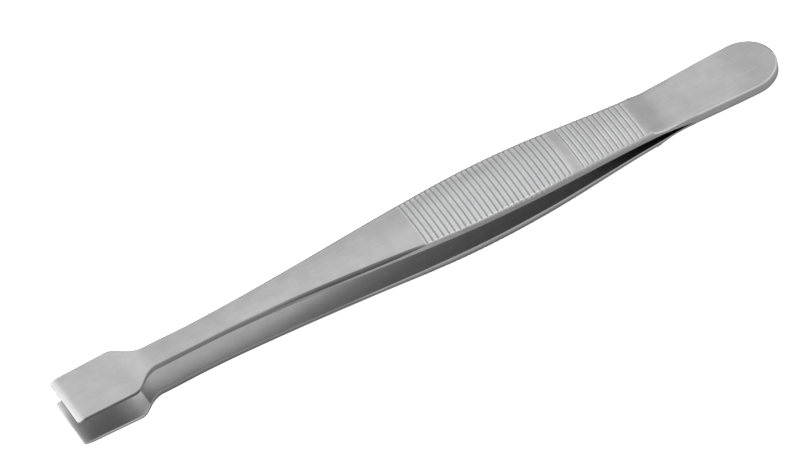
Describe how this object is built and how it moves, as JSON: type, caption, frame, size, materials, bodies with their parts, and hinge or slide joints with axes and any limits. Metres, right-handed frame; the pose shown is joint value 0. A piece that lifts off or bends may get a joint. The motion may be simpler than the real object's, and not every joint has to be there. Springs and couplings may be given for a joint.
{
  "type": "tweezers",
  "caption": "Thumb forceps with flat square tips, two sprung steel arms joined at a round-ended heel, and cross-grooved finger grips for holding thin flat things.",
  "frame": {"origin": "middle of the part's box in plan, at its lowest point, which is the crest of the lower arm's grip side", "axes": "+X from the tips to the heel, +Y across the arms towards the far side, +Z from the lower arm to the upper arm"},
  "size_m": [0.145, 0.0138, 0.0083],
  "materials": {
    "steel": "fine lengthwise brushed, matt"
  },
  "bodies": {
    "heel": {"heel": "steel"},
    "upper_arm": {"upper_arm": "steel"},
    "lower_arm": {"lower_arm": "steel"}
  },
  "joints": [
    {"name": "upper_arm_spring", "type": "hinge", "parent": "heel", "child": "upper_arm", "pos_m": [0.0529, 0, 0.00416], "axis": [0, -1, 0], "range_deg": [0, 1.17], "stiffness_Nm_per_rad": 8},
    {"name": "lower_arm_spring", "type": "hinge", "parent": "heel", "child": "lower_arm", "pos_m": [0.0529, 0, 0.00416], "axis": [0, 1, 0], "range_deg": [0, 1.17], "stiffness_Nm_per_rad": 8}
  ]
}
